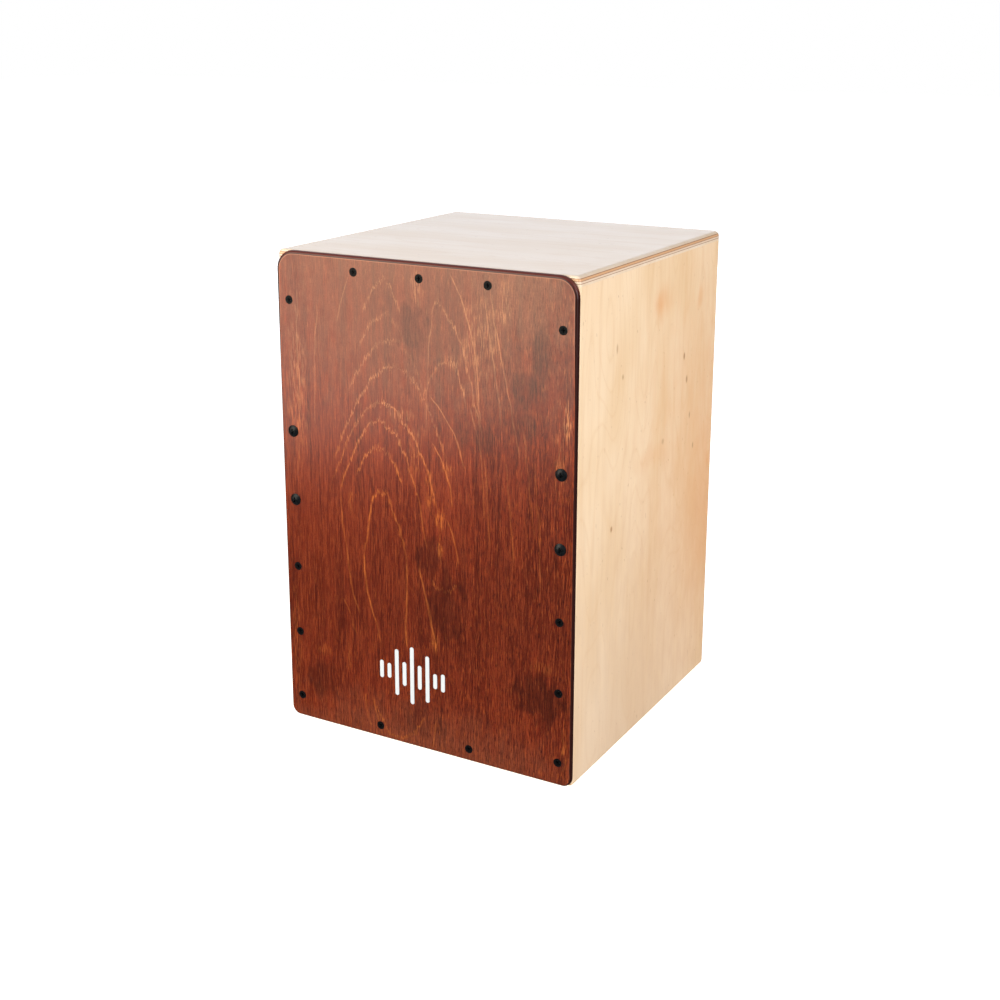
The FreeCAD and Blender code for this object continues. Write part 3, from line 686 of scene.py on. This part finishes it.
def dress_fittings():
    """Blacked screws, zinc-plated hardware, rubber feet and the printed mark."""
    black = metal_material("black_steel", BLACK_STEEL, 0.24, 0.38, Specular_IOR_Level=0.2)
    wear(black, "plate_screws_large")
    dull = metal_material("dull_black_steel", DULL_BLACK_STEEL, 0.3, 0.45, Specular_IOR_Level=0.07)
    wear(dull, "plate_screws", "back_screws")
    zinc = metal_material("zinc_steel", ZINC_STEEL, 0.25, 0.45, Metallic=1.0)
    wear(zinc, "foot_screws", "foot_washers", "snare_clip_screws", "snare_clip_left", "snare_clip_right")
    wear(rubber_material(), "foot_front_left", "foot_front_right", "foot_rear_left", "foot_rear_right")
    wear(ink_material(), "printed_mark")


# ---------------------------------------------------------------- wound snare wires

# Lengths in metres.
STRANDS = 10
STRAND_RADIUS = 0.0011
WIRE_RADIUS = 0.00024
COIL_PITCH = 0.0016
STEPS_PER_TURN = 10
WIRE_SIDES = 5


def coil_points(foot, head):
    """The middle line of one wound strand from foot to head, and the unit vectors away from its axis."""
    axis = head - foot
    length = np.linalg.norm(axis)
    axis = axis / length
    turns = length / COIL_PITCH
    steps = int(turns * STEPS_PER_TURN)
    angle = np.linspace(0.0, turns * 2 * math.pi, steps)[:, None]
    level = np.array((1.0, 0.0, 0.0))
    outward = np.cos(angle) * level + np.sin(angle) * np.cross(axis, level)
    middle = foot + np.linspace(0.0, 1.0, steps)[:, None] * length * axis
    return middle + outward * (STRAND_RADIUS - WIRE_RADIUS), outward


def tube(line, outward, radius, sides):
    """Vertices and faces of a closed tube round a line, its rings set square to it."""
    along = np.gradient(line, axis=0)
    along /= np.linalg.norm(along, axis=1)[:, None]
    beside = np.cross(along, outward)
    beside /= np.linalg.norm(beside, axis=1)[:, None]
    square = np.cross(beside, along)
    angle = (np.arange(sides) * 2 * math.pi / sides)[None, :, None]
    spokes = np.cos(angle) * square[:, None, :] + np.sin(angle) * beside[:, None, :]
    rings = line[:, None, :] + radius * spokes
    faces = []
    for start in range(0, (len(line) - 1) * sides, sides):
        for side in range(sides):
            turned = (side + 1) % sides
            faces.append((start + side, start + turned, start + sides + turned, start + sides + side))
    last = (len(line) - 1) * sides
    faces.append(tuple(range(sides))[::-1])
    faces.append(tuple(range(last, last + sides)))
    return rings.reshape(-1, 3), faces


def wound_wires(name, node, material):
    """Ten wound strands in place of the node's straight rods."""
    low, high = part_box(node)
    left = low.x + STRAND_RADIUS
    pitch = (high.x - low.x - 2 * STRAND_RADIUS) / (STRANDS - 1)
    vertices = []
    faces = []
    for strand in range(STRANDS):
        x = left + strand * pitch
        foot = np.array((x, high.y - STRAND_RADIUS, low.z))
        head = np.array((x, low.y + STRAND_RADIUS, high.z))
        points, quads = tube(*coil_points(foot, head), WIRE_RADIUS, WIRE_SIDES)
        first = len(vertices)
        vertices.extend(points.tolist())
        faces.extend(tuple(first + index for index in face) for face in quads)
    mesh = bpy.data.meshes.new(name)
    mesh.from_pydata(vertices, [], faces)
    mesh.shade_smooth()
    mesh.materials.append(material)
    piece = bpy.data.objects.new(name, mesh)
    bpy.context.scene.collection.objects.link(piece)
    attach(piece, "snare_unit")
    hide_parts(node)


def string_snares():
    """Bright wound strands on both sides of the snare unit."""
    wire = metal_material("bright_wire", BRIGHT_STEEL, 0.22, 0.4, Metallic=1.0)
    wound_wires("snare_coils_left", "snare_wires_left", wire)
    wound_wires("snare_coils_right", "snare_wires_right", wire)


# ---------------------------------------------------------------- studio

CAMERA_PLACE = (0.6703, -1.2098, 0.6598)
CAMERA_AZIMUTH = math.radians(29.769)
CAMERA_ELEVATION = math.radians(15.093)
CAMERA_LENS = 53.953  # focal length in mm for a picture 36 mm wide
CAMERA_SHIFT = (0.0134, -0.08)  # in widths of the picture

WHITE = (1.0, 1.0, 1.0, 1.0)
WARM = (1.0, 0.925, 0.77)
ROOM_TINT = (0.95, 0.98, 1.0, 1.0)
ROOM_LIGHT = 0.05
CEILING_LIGHT = 0.75
CEILING_START = 0.1  # how far above the horizon the ceiling's light begins, 1 being straight up
FLOOR_HALF = 12.0
FLOOR_COLOUR = (0.86, 0.86, 0.86, 1.0)
FLOOR_GLOW = 0.75

# Each lamp's name, place and target in metres, width and height, power in watts, and colour.
LAMPS = (
    ("key", (-0.47, -0.80, 0.46), (-0.03, -0.15, 0.40), 0.8, 0.8, 6.2, WARM),
    ("brow", (-0.2, -0.62, 0.62), (0.0, -0.15, 0.42), 0.5, 0.35, 1.2, WARM),
    ("fill", (1.5, -0.9, 0.75), (0.15, -0.05, 0.25), 0.9, 0.9, 12.7, (0.985, 0.99, 1.03)),
    ("crown", (1.1, -0.1, 1.3), (0.15, 0.0, 0.45), 0.5, 0.5, 3.6, (1.0, 0.96, 0.93)),
    ("back", (-1.3, 2.3, 0.8), (0.0, 0.0, 0.4), 2.4, 1.4, 16.5, (0.94, 0.98, 1.08)),
)


def place_camera():
    data = bpy.data.cameras.new("camera")
    data.lens = CAMERA_LENS
    data.shift_x, data.shift_y = CAMERA_SHIFT
    camera = bpy.data.objects.new("camera", data)
    camera.location = CAMERA_PLACE
    camera.rotation_euler = (math.pi / 2 - CAMERA_ELEVATION, 0.0, CAMERA_AZIMUTH)
    bpy.context.scene.collection.objects.link(camera)
    bpy.context.scene.camera = camera


def softbox(name, place, target, width, height, power, colour):
    """A rectangular lamp at place, turned to target."""
    data = bpy.data.lights.new(name, "AREA")
    data.shape = "RECTANGLE"
    data.size = width
    data.size_y = height
    data.energy = power
    data.color = colour
    lamp = bpy.data.objects.new(name, data)
    lamp.location = place
    lamp.rotation_mode = "QUATERNION"
    lamp.rotation_quaternion = (Vector(target) - Vector(place)).to_track_quat("-Z", "Y")
    lamp.visible_camera = False
    bpy.context.scene.collection.objects.link(lamp)


def make_world():
    """A white backdrop for the camera. Everything else sees a dim room with a lighter ceiling."""
    world = bpy.data.worlds.new("studio")
    tree = Nodes(world)
    up = tree.parts(tree.nodes.new("ShaderNodeTexCoord").outputs["Generated"])[UP]
    backdrop = tree.nodes.new("ShaderNodeBackground")
    backdrop.inputs["Color"].default_value = WHITE
    room = tree.nodes.new("ShaderNodeBackground")
    room.inputs["Color"].default_value = ROOM_TINT
    strength = tree.spread(up, CEILING_START, 1.0, ROOM_LIGHT, CEILING_LIGHT)
    tree.feed(room.inputs["Strength"], strength)
    seen = tree.nodes.new("ShaderNodeMixShader")
    tree.feed(seen.inputs[0], tree.nodes.new("ShaderNodeLightPath").outputs["Is Camera Ray"])
    tree.feed(seen.inputs[1], room.outputs[0])
    tree.feed(seen.inputs[2], backdrop.outputs[0])
    tree.feed(tree.nodes["World Output"].inputs["Surface"], seen.outputs[0])
    bpy.context.scene.world = world


def lay_floor():
    """A plain white floor that glows a little, so that it stays pale with no lamp on it."""
    mesh = bpy.data.meshes.new("floor")
    corners = ((-1, -1), (1, -1), (1, 1), (-1, 1))
    mesh.from_pydata([(x * FLOOR_HALF, y * FLOOR_HALF, 0.0) for x, y in corners], [], [(0, 1, 2, 3)])
    floor = bpy.data.objects.new("floor", mesh)
    material = bpy.data.materials.new("floor")
    material.use_nodes = True
    shader = material.node_tree.nodes["Principled BSDF"]
    shader.inputs["Base Color"].default_value = FLOOR_COLOUR
    shader.inputs["Roughness"].default_value = 0.9
    shader.inputs["Specular IOR Level"].default_value = 0.0
    shader.inputs["Emission Color"].default_value = WHITE
    shader.inputs["Emission Strength"].default_value = FLOOR_GLOW
    mesh.materials.append(material)
    floor.visible_glossy = False
    bpy.context.scene.collection.objects.link(floor)


def light_studio():
    make_world()
    lay_floor()
    for lamp in LAMPS:
        softbox(*lamp)
    bpy.context.scene.view_settings.view_transform = "Standard"


dress_panels()
dress_insides()
dress_fittings()
string_snares()
place_camera()
light_studio()
